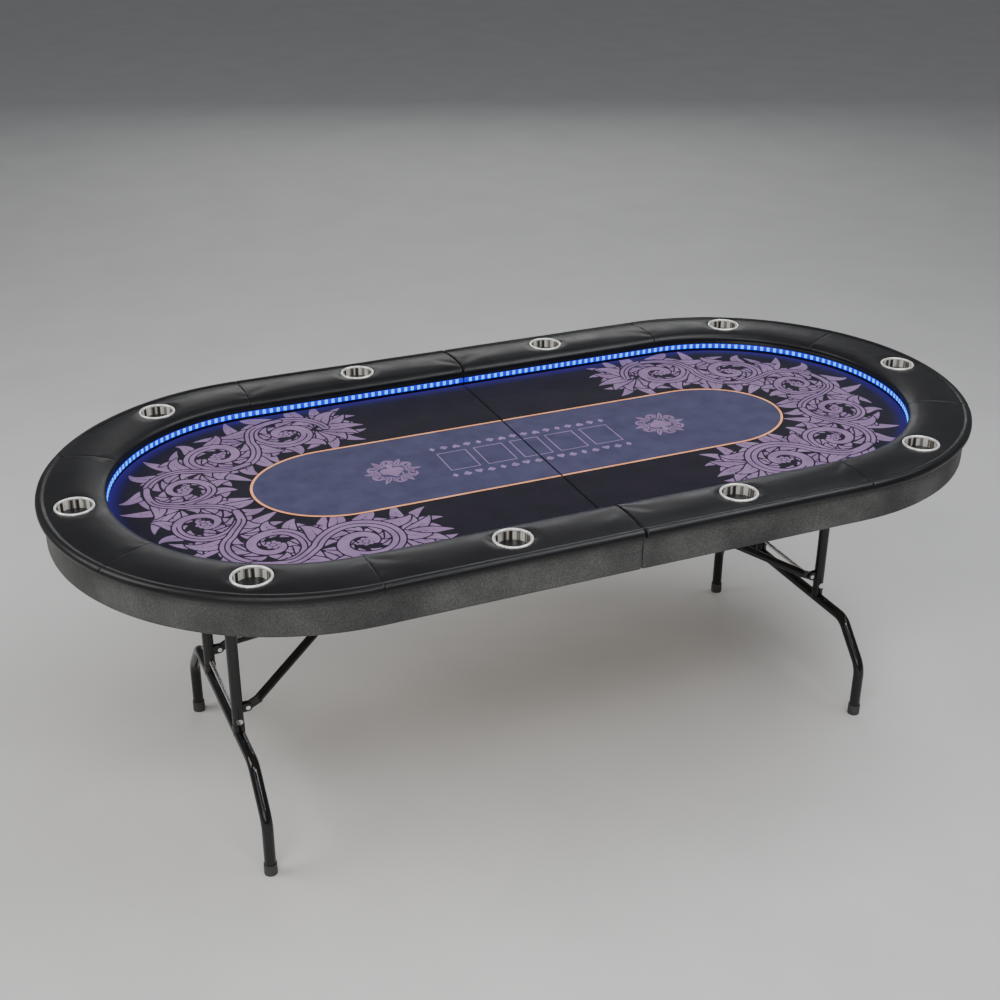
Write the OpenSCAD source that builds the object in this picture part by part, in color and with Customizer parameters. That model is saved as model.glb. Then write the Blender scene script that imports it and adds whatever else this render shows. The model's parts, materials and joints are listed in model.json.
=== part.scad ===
// Folding poker table: padded racetrack rail, ten cup holders, light strip round the well,
// two folding tube legs with knee braces, hinged across the middle.
// X runs along the length, Y across it, Z up; the origin is on the floor under the centre.

/* [Table top] */
// Overall length
table_l = 2134; // [2100:1:2170]
// Overall width
table_w = 1067; // [1050:1:1080]
// Height of the cup rims above the floor
table_h = 762; // [755:1:775]
// Width of the padded rail
rail_w = 140; // [134:1:146]
// How far the playing surface lies below the cup rims
well_depth = 50; // [49:1:52]
// Thickness of the padding on the rail
pad_t = 22; // [21:1:30]
// Gap between the two halves at the fold
fold_gap = 2.4; // [2:0.2:4]
// How far the apron stands in from the edge of the pads
apron_inset = 13; // [10:1:16]
// Thickness of the apron
apron_t = 12; // [10:1:15]
// Height of the apron's lower edge
apron_z = 667; // [664:1:674]

/* [Playing surface] */
// Thickness of the cloth
felt_t = 1; // [0.8:0.1:1.5]
// Thickness of the foam under the cloth
foam_t = 2; // [1.5:0.5:3]
// Thickness of the plywood board
board_t = 9; // [8.5:0.5:10]

/* [Cup holders] */
// Radius of the turned-over rim
cup_rim_r = 40; // [38:0.5:42]
// Outer radius of the cup's wall
cup_wall_r = 36.4; // [34:0.2:36.6]
// Thickness of the sheet
cup_sheet = 0.8; // [0.6:0.1:1.2]
// Depth from the rim to the underside
cup_depth = 65; // [60:1:66]
// Distance from the centre to the straight rail's cups
cup_straight_x = 251; // [240:1:260]
// Angle round the end arc to the corner cups
cup_corner_a = 62.6; // [58:0.2:66]

/* [Legs] */
// Distance from the centre to each leg
leg_x = 735; // [725:1:740]
// Height of the leg's pivot
pivot_z = 666; // [665:0.5:666.5]
// Outer radius of the leg tube
tube_r = 12.5; // [12:0.1:12.5]
// Wall of the leg tube
tube_wall = 1.5; // [1:0.1:2]
// Distance of each upright from the middle
upright_y = 127; // [124:1:130]
// Distance of each foot from the middle
foot_y = 322; // [315:1:325]
// Height of the arch that joins the feet
arch_z = 224; // [220:1:228]
// Where the arch starts to bend down, from the middle
arch_bend_y = 238; // [234:1:244]
// Angle of the arch's slope
arch_slope = 48; // [44:1:52]

/* [Brace] */
// How far the brace pivot stands inboard of the upright
brace_in = 23; // [22.5:0.5:23.5]
// Height of the brace pivot
brace_z = 286.6; // [284:0.2:290]
// Distance of the brace pivots from the middle
brace_y = 123; // [122:0.5:124]
// Distance of the knee from the middle of the table
knee_x = 465; // [460:1:470]
// Height of the knee
knee_z = 403; // [400:1:406]
// Height of the upper link's pivot
link_z = 688; // [687.5:0.5:688.5]

/* [Hidden] */
$fn = 64;

LEFT = -1;
RIGHT = 1;
running = 0.05;                                // radial clearance of a pin that turns
edge_r = table_w / 2;                          // outer radius of the pads
end_x = table_l / 2 - edge_r;                  // centre of each end arc
inner_r = edge_r - rail_w;                     // inner radius of the pads
rail_r = edge_r - rail_w / 2 - 3;              // radius of the line that the cups sit on
seam_a = 30;                                   // half angle of the end pad
fold_x = fold_gap / 2;                         // where each half starts

pad_top = table_h - 1;
pad_z = pad_top - pad_t;
felt_top = table_h - well_depth;
foam_z = felt_top - felt_t - foam_t;
board_top = foam_z;
board_z = board_top - board_t;                 // underside, where the legs are screwed
apron_r = edge_r - apron_inset;
core_r = apron_r - apron_t;                    // outer radius of the board and rail base
well_r = inner_r + 3;                          // the wall under the pads' inner edge

batten_t = 18;                                 // fold batten
hinge_ys = [-300, 0, 300];
hinge_l = 90;
hinge_z = apron_z - 4.2;                       // fold axis
hinge_pin_r = 2;
knuckle_r = 4;
knuckles = 5;

strip_z = felt_top + 7;                        // light strip
strip_h = 12;
strip_t = 1.5;

bracket_t = 3;
screw_l = 6;                                   // depth of the screws in the board
journal_r = 8;
frame_half = 168;                              // half length of the pivot tube
cross_z = 262;                                 // cross rod between the uprights
cross_r = 4.5;
arm_r = 9.5;
arm_eye_r = 9.8;
bolt_r = 3;
link_r = 7;
link_eye_r = 9;
tab_in = 10;                                   // inner face of the knee tabs
tab_t = 6;
cap_h = 26;
cap_floor = 3;

// Knee linkage of the right leg, worked out in the plane of the leg's swing.
arm_x = leg_x - brace_in;                      // brace pivot with the leg down
arm_l = norm([arm_x - knee_x, knee_z - brace_z]);
knee_fold_x = leg_x - (pivot_z - brace_z) - arm_l;   // knee with the leg folded
knee_fold_z = pivot_z + brace_in;
link_x = (knee_x * knee_x - knee_fold_x * knee_fold_x + pow(link_z - knee_z, 2)
    - pow(link_z - knee_fold_z, 2)) / (2 * (knee_x - knee_fold_x));
link_l = norm([knee_x - link_x, link_z - knee_z]);
arm_rise = atan2(knee_z - brace_z, arm_x - knee_x);
link_drop = atan2(link_z - knee_z, knee_x - link_x);
echo(link_x = link_x, link_l = link_l, arm_x = arm_x, arm_l = arm_l);
echo(arm_turn = -(90 + arm_rise), link_turn = 180 - link_drop
    + atan2(knee_fold_z - link_z, link_x - knee_fold_x));

cup_spots = [
    [cup_straight_x, rail_r, 0],
    [end_x + rail_r * cos(cup_corner_a), rail_r * sin(cup_corner_a), 0],
    [end_x + rail_r, 0, 0],
    [end_x + rail_r * cos(cup_corner_a), -rail_r * sin(cup_corner_a), 0],
    [cup_straight_x, -rail_r, 0]
];
BACK = 0;
BACK_CORNER = 1;
END = 2;
FRONT_CORNER = 3;
FRONT = 4;

// Puts the right side's shape on the side asked for.
module on_side(side) {
    if (side == LEFT) mirror([1, 0, 0]) children();
    else children();
}

// Cylinder along Y, centred at y = 0.
module y_cylinder(r, h) {
    rotate([90, 0, 0]) cylinder(r = r, h = h, center = true);
}

module both_y() {
    children();
    mirror([0, 1, 0]) children();
}

// Flat outline of one half of the top at a radius from the end arc's centre.
module half_outline(r) {
    translate([fold_x, -r]) square([end_x - fold_x, 2 * r]);
    translate([end_x, 0]) circle(r);
}

module whole_outline(r) {
    translate([-end_x, -r]) square([2 * end_x, 2 * r]);
    translate([end_x, 0]) circle(r);
    translate([-end_x, 0]) circle(r);
}

module half_plate(r, z, t) {
    translate([0, 0, z]) linear_extrude(t) half_outline(r);
}

module half_ring(outer, inner, z, t) {
    translate([0, 0, z]) linear_extrude(t) difference() {
        half_outline(outer);
        whole_outline(inner);
    }
}

module cup_holes(r, z, h) {
    for (p = cup_spots) translate(p) translate([0, 0, z]) cylinder(r = r, h = h);
}

module board(side) {
    color("burlywood") on_side(side) difference() {
        half_plate(core_r, board_z, board_t);
        cup_holes(cup_wall_r + 0.2, board_z - 1, board_t + 2);
        for (p = screw_spots()) translate([p[0], p[1], board_z - 1]) 
            cylinder(r = 2, h = screw_l + 1);
    }
}

module foam(side) {
    color("dimgray") on_side(side) half_plate(well_r, foam_z, foam_t);
}

module felt(side) {
    color("darkslateblue") on_side(side) half_plate(well_r, felt_top - felt_t, felt_t);
}

module rail_base(side) {
    color("tan") on_side(side) difference() {
        half_ring(core_r, well_r, board_top, pad_z - board_top);
        cup_holes(cup_wall_r + 0.2, board_top - 1, pad_z - board_top + 2);
    }
}

module apron(side) {
    color("dimgray") on_side(side) half_ring(apron_r, core_r, apron_z, pad_z - apron_z);
}

module fold_batten(side) {
    color("tan") on_side(side) translate([fold_x, -core_r, apron_z])
        cube([batten_t, 2 * core_r, board_z - apron_z]);
}

// Crowned section of the rail padding: distance from the middle of the table, height.
module pad_section() {
    corner = 10;
    crown = 260;
    mid = (inner_r + edge_r) / 2;
    intersection() {
        union() {
            translate([inner_r, pad_z + corner]) square([rail_w, pad_t - 2 * corner]);
            translate([inner_r + corner, pad_z]) square([rail_w - 2 * corner, pad_t]);
            for (r = [inner_r + corner, edge_r - corner], z = [pad_z + corner, pad_top - corner])
                translate([r, z]) circle(corner);
        }
        translate([mid, pad_top - crown]) circle(crown, $fn = 160);
    }
}

module pad(side, place) {
    color([0.13, 0.13, 0.14]) on_side(side) difference() {
        union() {
            if (place == BACK || place == FRONT)
                mirror([0, place == FRONT ? 1 : 0, 0]) translate([fold_x, 0, 0])
                    rotate([90, 0, 90]) linear_extrude(end_x - fold_x) pad_section();
            if (place == BACK_CORNER)
                translate([end_x, 0, 0]) rotate([0, 0, seam_a])
                    rotate_extrude(angle = 90 - seam_a) pad_section();
            if (place == FRONT_CORNER)
                translate([end_x, 0, 0]) rotate([0, 0, -90])
                    rotate_extrude(angle = 90 - seam_a) pad_section();
            if (place == END)
                translate([end_x, 0, 0]) rotate([0, 0, -seam_a])
                    rotate_extrude(angle = 2 * seam_a) pad_section();
        }
        translate(cup_spots[place]) {
            translate([0, 0, pad_z - 1]) cylinder(r = cup_wall_r + 0.2, h = pad_t + 2);
            translate([0, 0, pad_top - 5]) cylinder(r = cup_rim_r + 0.1, h = 10);
        }
    }
}

// Pressed steel cup with a turned-over rim and a dished floor.
module cup(side, place) {
    rim_h = 5.8;
    color("gainsboro") on_side(side) translate(cup_spots[place])
        translate([0, 0, table_h - cup_depth]) rotate_extrude() {
            square([cup_wall_r, 1]);
            translate([cup_wall_r - cup_sheet, 0]) square([cup_sheet, cup_depth]);
            translate([cup_wall_r - cup_sheet, cup_depth - 1])
                square([cup_rim_r - cup_wall_r + cup_sheet, 1]);
            translate([cup_rim_r - 1, cup_depth - rim_h]) square([1, rim_h]);
        }
}

module light_strip(side) {
    color("royalblue") on_side(side) half_ring(well_r, well_r - strip_t, strip_z, strip_h);
}

module light_controller() {
    color([0.1, 0.1, 0.1]) translate([-150, 330, board_z - 18]) cube([64, 36, 18]);
}

// Barrel socket under the controller, open downwards.
module power_inlet() {
    color("silver") translate([-118, 348, board_z - 24]) difference() {
        cylinder(r = 5, h = 6);
        translate([0, 0, -1]) cylinder(r = 2.8, h = 6);
    }
}

module knuckle_row(first, bore) {
    step = hinge_l / knuckles;
    for (k = [first : 2 : knuckles - 1])
        translate([0, (k - (knuckles - 1) / 2) * step, hinge_z]) difference() {
            union() {
                y_cylinder(knuckle_r, step - 0.6);
                translate([0, -(step - 0.6) / 2, apron_z - hinge_z - 2.4])
                    cube([fold_x + 4, step - 0.6, 2.4]);
            }
            y_cylinder(bore, step);
        }
}

module fold_hinge_leaves(side) {
    reach = fold_x + batten_t;
    color("silver") on_side(side) for (y = hinge_ys) translate([0, y, 0]) {
        difference() {
            translate([fold_x + 3.2, -hinge_l / 2, apron_z - 2.4])
                cube([reach - fold_x - 3.2, hinge_l, 2.4]);
            for (dy = [-30, 0, 30]) translate([13, dy, apron_z - 3]) cylinder(r = 2, h = 4);
        }
        knuckle_row(side == LEFT ? 0 : 1, side == LEFT ? hinge_pin_r : hinge_pin_r + running);
    }
}

module fold_hinge_pins() {
    color("gray") for (y = hinge_ys) translate([0, y, hinge_z]) y_cylinder(hinge_pin_r, hinge_l);
}

// Screws of the leg brackets: the corners of both pivot flanges and of the link's plate.
function screw_spots() = concat(
    [for (s = [-1, 1], dx = [-20, 20], dy = [16, 34]) [leg_x + dx, s * (frame_half + dy)]],
    [for (s = [-1, 1], dx = [-12, 12]) [link_x + dx, s * 22]]
);

module bracket_screws(side) {
    head = 2.4;
    color("silver") on_side(side) for (p = screw_spots())
        translate([p[0], p[1], board_z - bracket_t]) {
            cylinder(r = 2, h = bracket_t + screw_l);
            translate([0, 0, -head]) cylinder(r1 = 2.6, r2 = 4, h = head);
        }
}

module flange_holes() {
    for (p = screw_spots()) translate([p[0], p[1], board_z - bracket_t - 1])
        cylinder(r = 2, h = bracket_t + 2);
}

module pivot_brackets(side) {
    plate_y = frame_half + 0.5;
    color([0.08, 0.08, 0.08]) on_side(side) both_y() difference() {
        union() {
            translate([leg_x - 30, plate_y, board_z - bracket_t]) cube([60, 44, bracket_t]);
            translate([leg_x - 16, plate_y, pivot_z]) cube([32, 4, board_z - pivot_z]);
            translate([leg_x, plate_y + 2, pivot_z]) y_cylinder(16, 4);
        }
        translate([leg_x, plate_y + 2, pivot_z]) y_cylinder(journal_r + running, 6);
        flange_holes();
    }
}

module link_bracket(side) {
    ear_in = link_r + 2.2;
    color([0.08, 0.08, 0.08]) on_side(side) {
        difference() {
            union() {
                translate([link_x - 20, -30, board_z - bracket_t + 0.2])
                    cube([40, 60, bracket_t - 0.2]);
                both_y() {
                    translate([link_x - link_eye_r, ear_in, link_z])
                        cube([2 * link_eye_r, 3, board_z - link_z]);
                    translate([link_x, ear_in + 1.5, link_z]) y_cylinder(link_eye_r, 3);
                }
            }
            translate([link_x, 0, link_z]) y_cylinder(bolt_r, 60);
            flange_holes();
        }
        translate([link_x, 0, link_z]) y_cylinder(bolt_r, 2 * (ear_in + 3));
        both_y() translate([link_x, ear_in + 4, link_z]) y_cylinder(5, 2);
    }
}

// Tubes of the welded leg frame at one radius; the lower ends are swaged over half the arch.
module frame_tubes(r, swage, length) {
    translate([leg_x, 0, pivot_z]) y_cylinder(r, length);
    both_y() translate([leg_x, upright_y, 0]) {
        translate([0, 0, arch_z]) cylinder(r = r, h = pivot_z - arch_z);
        translate([0, 0, arch_z - 2]) cylinder(r = swage, h = tube_r + 15);
    }
}

// Two ears on the inboard side of an upright, either side of the arm's eye.
module brace_saddle() {
    for (y = [brace_y - 6.4, brace_y + 3.4]) {
        translate([arm_x, y, brace_z - arm_eye_r]) cube([brace_in - 8, 3, 2 * arm_eye_r]);
        translate([arm_x, y + 1.5, brace_z]) y_cylinder(arm_eye_r, 3);
    }
}

module leg_frame(side) {
    color([0.06, 0.06, 0.06]) on_side(side) difference() {
        union() {
            frame_tubes(tube_r, tube_r + 0.8, 2 * frame_half);
            translate([leg_x, 0, pivot_z]) y_cylinder(journal_r, 2 * frame_half + 16);
            both_y() brace_saddle();
        }
        frame_tubes(tube_r - tube_wall, tube_r - tube_wall, 2 * frame_half - 8);
        translate([leg_x, 0, arch_z]) y_cylinder(tube_r, 2 * arch_bend_y);
        translate([leg_x, 0, cross_z]) y_cylinder(cross_r, 2 * upright_y + 60);
        translate([arm_x, 0, brace_z]) y_cylinder(bolt_r, 2 * brace_y + 30);
    }
}

// Cross rod with its heads outside the uprights, and the bolts of the brace.
module leg_rivets(side) {
    head_y = upright_y + tube_r;
    color("silver") on_side(side) {
        translate([leg_x, 0, cross_z]) {
            y_cylinder(cross_r, 2 * head_y);
            both_y() translate([0, head_y + 1.2, 0]) y_cylinder(7, 2.4);
        }
        both_y() translate([arm_x, brace_y, brace_z]) {
            y_cylinder(bolt_r, 12.8);
            for (y = [-7.4, 7.4]) translate([0, y, 0]) y_cylinder(5, 2);
        }
    }
}

module tube_section() {
    difference() {
        circle(tube_r);
        circle(tube_r - tube_wall);
    }
}

// Bend and foot on one side of the arch, from the end of its level stretch to the floor cap.
module arch_side(bend_top, bend_low) {
    t_top = bend_top * tan(arch_slope / 2);
    t_low = bend_low * tan((90 - arch_slope) / 2);
    drop = (foot_y - arch_bend_y) * tan(arch_slope);
    slope_l = (foot_y - arch_bend_y) / cos(arch_slope) - t_top - t_low;
    translate([0, arch_bend_y - t_top, -bend_top]) rotate([90, 0, 90])
        rotate([0, 0, 90 - arch_slope]) rotate_extrude(angle = arch_slope)
            translate([bend_top, 0]) tube_section();
    translate([0, arch_bend_y + t_top * cos(arch_slope), -t_top * sin(arch_slope)])
        rotate([-90 - arch_slope, 0, 0]) linear_extrude(slope_l) tube_section();
    translate([0, foot_y - bend_low, -drop - t_low]) rotate([90, 0, 90])
        rotate_extrude(angle = 90 - arch_slope) translate([bend_low, 0]) tube_section();
    translate([0, foot_y, cap_floor - arch_z])
        linear_extrude(arch_z - drop - t_low - cap_floor) tube_section();
}

module foot_arch(side) {
    bend_top = 45;
    bend_low = 60;
    level = arch_bend_y - bend_top * tan(arch_slope / 2);
    color([0.06, 0.06, 0.06]) on_side(side) translate([leg_x, 0, arch_z]) {
        rotate([90, 0, 0]) linear_extrude(2 * level, center = true) tube_section();
        both_y() arch_side(bend_top, bend_low);
    }
}

module foot_caps(side) {
    color("gray") on_side(side) both_y() translate([leg_x, foot_y, 0]) difference() {
        cylinder(r = tube_r + 1.8, h = cap_h);
        translate([0, 0, cap_floor]) cylinder(r = tube_r, h = cap_h);
    }
}

// Two arms from the uprights to the knee, in the plane of the arm with its pivot at the origin.
module arm_shape(length) {
    tab_mid = tab_in + tab_t / 2;
    eye_l = 26;
    tab_l = 46;
    run = length - eye_l - tab_l;
    spread = brace_y - 1 - tab_in - arm_r;
    both_y() {
        difference() {
            union() {
                translate([0, brace_y, 0]) y_cylinder(arm_eye_r, tab_t);
                translate([-eye_l - 6, brace_y - tab_t / 2, -arm_r]) cube([eye_l + 6, tab_t, 2 * arm_r]);
            }
            translate([0, brace_y, 0]) y_cylinder(bolt_r + running, 20);
        }
        translate([-eye_l, brace_y - 1, 0])
            rotate([0, -90, atan2(spread, run)])
                cylinder(r = arm_r, h = norm([run, spread]));
        translate([-length, tab_in, -arm_r]) cube([tab_l + 8, tab_t, 2 * arm_r]);
        translate([-length, tab_mid, 0]) y_cylinder(arm_eye_r, tab_t);
        translate([-length, tab_in + tab_t + 1, 0]) y_cylinder(5, 2);
    }
}

module brace_arms(side) {
    color([0.06, 0.06, 0.06]) on_side(side) translate([arm_x, 0, brace_z])
        rotate([0, arm_rise, 0]) arm_shape(arm_l);
}

module upper_link(side) {
    eye_w = 2 * link_r + 1;
    color([0.06, 0.06, 0.06]) on_side(side) translate([link_x, 0, link_z])
        rotate([0, link_drop, 0]) difference() {
            union() {
                y_cylinder(link_eye_r, eye_w);
                rotate([0, 90, 0]) cylinder(r = link_r, h = link_l);
                translate([link_l, 0, 0]) y_cylinder(link_eye_r, eye_w);
            }
            y_cylinder(bolt_r + running, 40);
            translate([link_l, 0, 0]) y_cylinder(bolt_r, 40);
        }
}

// Ring that slides along the upper link and drops to the knee.
module lock_ring(side) {
    ring_l = 18;
    from_knee = 28.5;
    color("silver") on_side(side) translate([link_x, 0, link_z])
        rotate([0, link_drop, 0]) translate([link_l - from_knee, 0, 0]) rotate([0, 90, 0])
            difference() {
                cylinder(r = link_r + 2, h = ring_l);
                translate([0, 0, -1]) cylinder(r = link_r + running, h = ring_l + 2);
            }
}

board(LEFT);  // board_left
board(RIGHT);  // board_right
foam(LEFT);  // foam_left
foam(RIGHT);  // foam_right
felt(LEFT);  // felt_left
felt(RIGHT);  // felt_right
rail_base(LEFT);  // rail_base_left
rail_base(RIGHT);  // rail_base_right
apron(LEFT);  // apron_left
apron(RIGHT);  // apron_right
fold_batten(LEFT);  // fold_batten_left
fold_batten(RIGHT);  // fold_batten_right
pad(LEFT, FRONT);  // pad_left_front
pad(LEFT, FRONT_CORNER);  // pad_left_front_corner
pad(LEFT, END);  // pad_left_end
pad(LEFT, BACK_CORNER);  // pad_left_back_corner
pad(LEFT, BACK);  // pad_left_back
pad(RIGHT, FRONT);  // pad_right_front
pad(RIGHT, FRONT_CORNER);  // pad_right_front_corner
pad(RIGHT, END);  // pad_right_end
pad(RIGHT, BACK_CORNER);  // pad_right_back_corner
pad(RIGHT, BACK);  // pad_right_back
cup(LEFT, FRONT);  // cup_left_front
cup(LEFT, FRONT_CORNER);  // cup_left_front_corner
cup(LEFT, END);  // cup_left_end
cup(LEFT, BACK_CORNER);  // cup_left_back_corner
cup(LEFT, BACK);  // cup_left_back
cup(RIGHT, FRONT);  // cup_right_front
cup(RIGHT, FRONT_CORNER);  // cup_right_front_corner
cup(RIGHT, END);  // cup_right_end
cup(RIGHT, BACK_CORNER);  // cup_right_back_corner
cup(RIGHT, BACK);  // cup_right_back
light_strip(LEFT);  // light_strip_left
light_strip(RIGHT);  // light_strip_right
light_controller();
power_inlet();
fold_hinge_leaves(LEFT);  // fold_hinge_leaves_left
fold_hinge_leaves(RIGHT);  // fold_hinge_leaves_right
fold_hinge_pins();
pivot_brackets(LEFT);  // pivot_brackets_left
pivot_brackets(RIGHT);  // pivot_brackets_right
link_bracket(LEFT);  // link_bracket_left
link_bracket(RIGHT);  // link_bracket_right
bracket_screws(LEFT);  // bracket_screws_left
bracket_screws(RIGHT);  // bracket_screws_right
leg_frame(LEFT);  // leg_frame_left
leg_frame(RIGHT);  // leg_frame_right
leg_rivets(LEFT);  // leg_rivets_left
leg_rivets(RIGHT);  // leg_rivets_right
foot_arch(LEFT);  // foot_arch_left
foot_arch(RIGHT);  // foot_arch_right
foot_caps(LEFT);  // foot_caps_left
foot_caps(RIGHT);  // foot_caps_right
brace_arms(LEFT);  // brace_arms_left
brace_arms(RIGHT);  // brace_arms_right
upper_link(LEFT);  // upper_link_left
upper_link(RIGHT);  // upper_link_right
lock_ring(LEFT);  // lock_ring_left
lock_ring(RIGHT);  // lock_ring_right
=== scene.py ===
"""Visual model of a folding poker table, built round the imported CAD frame. Metres, Z up."""
import cmath
import json
import math

import bmesh
import bpy
import numpy as np
from mathutils import Matrix, Vector, noise


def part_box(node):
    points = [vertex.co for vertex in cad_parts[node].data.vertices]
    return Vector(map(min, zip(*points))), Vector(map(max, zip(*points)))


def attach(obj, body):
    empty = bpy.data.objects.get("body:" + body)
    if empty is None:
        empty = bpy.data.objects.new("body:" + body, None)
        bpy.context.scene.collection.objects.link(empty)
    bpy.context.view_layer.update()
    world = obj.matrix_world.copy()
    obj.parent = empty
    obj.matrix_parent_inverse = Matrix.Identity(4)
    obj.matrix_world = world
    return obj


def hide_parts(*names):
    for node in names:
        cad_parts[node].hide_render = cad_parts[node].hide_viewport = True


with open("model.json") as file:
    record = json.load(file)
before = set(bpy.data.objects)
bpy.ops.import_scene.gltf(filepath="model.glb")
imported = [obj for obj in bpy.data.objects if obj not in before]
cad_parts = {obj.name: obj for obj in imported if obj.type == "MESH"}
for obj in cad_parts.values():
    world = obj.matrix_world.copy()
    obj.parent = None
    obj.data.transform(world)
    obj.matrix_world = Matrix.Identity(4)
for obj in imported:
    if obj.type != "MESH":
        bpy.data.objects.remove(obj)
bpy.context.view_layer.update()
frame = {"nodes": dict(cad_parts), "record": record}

MM = 0.001
SIDES = {"left": -1, "right": 1}
PLACES = ("back", "back_corner", "end", "front_corner", "front")

# ---- sizes taken from the frame
PAD_LO, PAD_HI = (Vector(c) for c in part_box("pad_right_back"))
APRON_LO, APRON_HI = (Vector(c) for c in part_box("apron_right"))
FELT_LO, FELT_HI = (Vector(c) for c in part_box("felt_right"))
STRIP_LO, STRIP_HI = (Vector(c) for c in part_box("light_strip_right"))
BOARD_HI = Vector(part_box("board_right")[1])
END_X = PAD_HI.x  # centre of the end arc
FOLD_X = PAD_LO.x  # where each half starts
EDGE_R = PAD_HI.y
INNER_R = PAD_LO.y
MID_R = (EDGE_R + INNER_R) / 2
WELL_R = FELT_HI.y
APRON_R = APRON_HI.y
CORE_R = BOARD_HI.y
FELT_Z = FELT_HI.z
SEAM_A = math.radians(30)  # half angle of the end pad
WALL_T = 0.5 * MM  # the well's lining


# ---- camera, floor and light
def camera():
    """The photograph's view: 52 mm lens, standing in front of the left half and looking down."""
    data = bpy.data.cameras.new("camera")
    data.sensor_width = 36
    data.lens = 52.49
    cam = bpy.data.objects.new("camera", data)
    yaw, pitch, roll = (math.radians(a) for a in (23.85, -26.7, 0.40))
    ahead = Vector((math.sin(yaw) * math.cos(pitch), math.cos(yaw) * math.cos(pitch),
                    math.sin(pitch)))
    right = Vector((math.cos(yaw), -math.sin(yaw), 0))
    up = right.cross(ahead)
    x_axis = right * math.cos(roll) + up * math.sin(roll)
    y_axis = up * math.cos(roll) - right * math.sin(roll)
    turn = Matrix((x_axis, y_axis, -ahead)).transposed()
    cam.matrix_world = Matrix.Translation((-1.262, -2.685, 2.070)) @ turn.to_4x4()
    bpy.context.collection.objects.link(cam)
    bpy.context.scene.camera = cam


def assign(target, **values):
    for key, value in values.items():
        setattr(target, key, value)


def area_light(name, place, aim, size, power, colour=(1.0, 1.0, 1.0)):
    data = bpy.data.lights.new(name, "AREA")
    assign(data, shape="RECTANGLE", size=size[0], size_y=size[1], energy=power, color=colour)
    lamp = bpy.data.objects.new(name, data)
    lamp.location = place
    lamp.rotation_euler = (Vector(aim) - Vector(place)).to_track_quat("-Z", "Y").to_euler()
    bpy.context.collection.objects.link(lamp)


def studio():
    world = bpy.data.worlds.new("studio")
    world.use_nodes = True
    back = world.node_tree.nodes["Background"]
    back.inputs["Color"].default_value = (0.86, 0.88, 0.92, 1)
    back.inputs["Strength"].default_value = 0.19
    bpy.context.scene.world = world
    top = (0, 0, 0.7)
    area_light("key", (-3.4, 0.8, 3.0), top, (2.4, 2.0), 88, (1.0, 0.98, 0.95))
    area_light("over", (1.6, -0.6, 3.6), top, (2.8, 1.6), 84, (0.96, 0.98, 1.0))
    area_light("rear", (2.3, 6.0, 2.7), (0.2, 0.4, 0.7), (4.4, 0.9), 46)
    area_light("fill", (-2.6, -3.4, 2.0), (0, 0, 0.4), (2.4, 2.0), 46)
    area_light("roll", (-0.9, -2.6, 3.6), (0, -0.4, 0.7), (3.6, 0.7), 84)
    mesh = bpy.data.meshes.new("floor")
    reach = 14
    corners = [(x * reach, y * reach, 0) for x, y in ((-1, -1), (1, -1), (1, 1), (-1, 1))]
    mesh.from_pydata(corners, [], [(0, 1, 2, 3)])
    floor = bpy.data.objects.new("floor", mesh)
    bpy.context.collection.objects.link(floor)
    m = Material("pale_floor", (0.62, 0.62, 0.61), 0.6)
    m.mottle((0.60, 0.60, 0.595), (0.64, 0.64, 0.635), 3.0, 4)
    floor.data.materials.append(m.mat)


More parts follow.
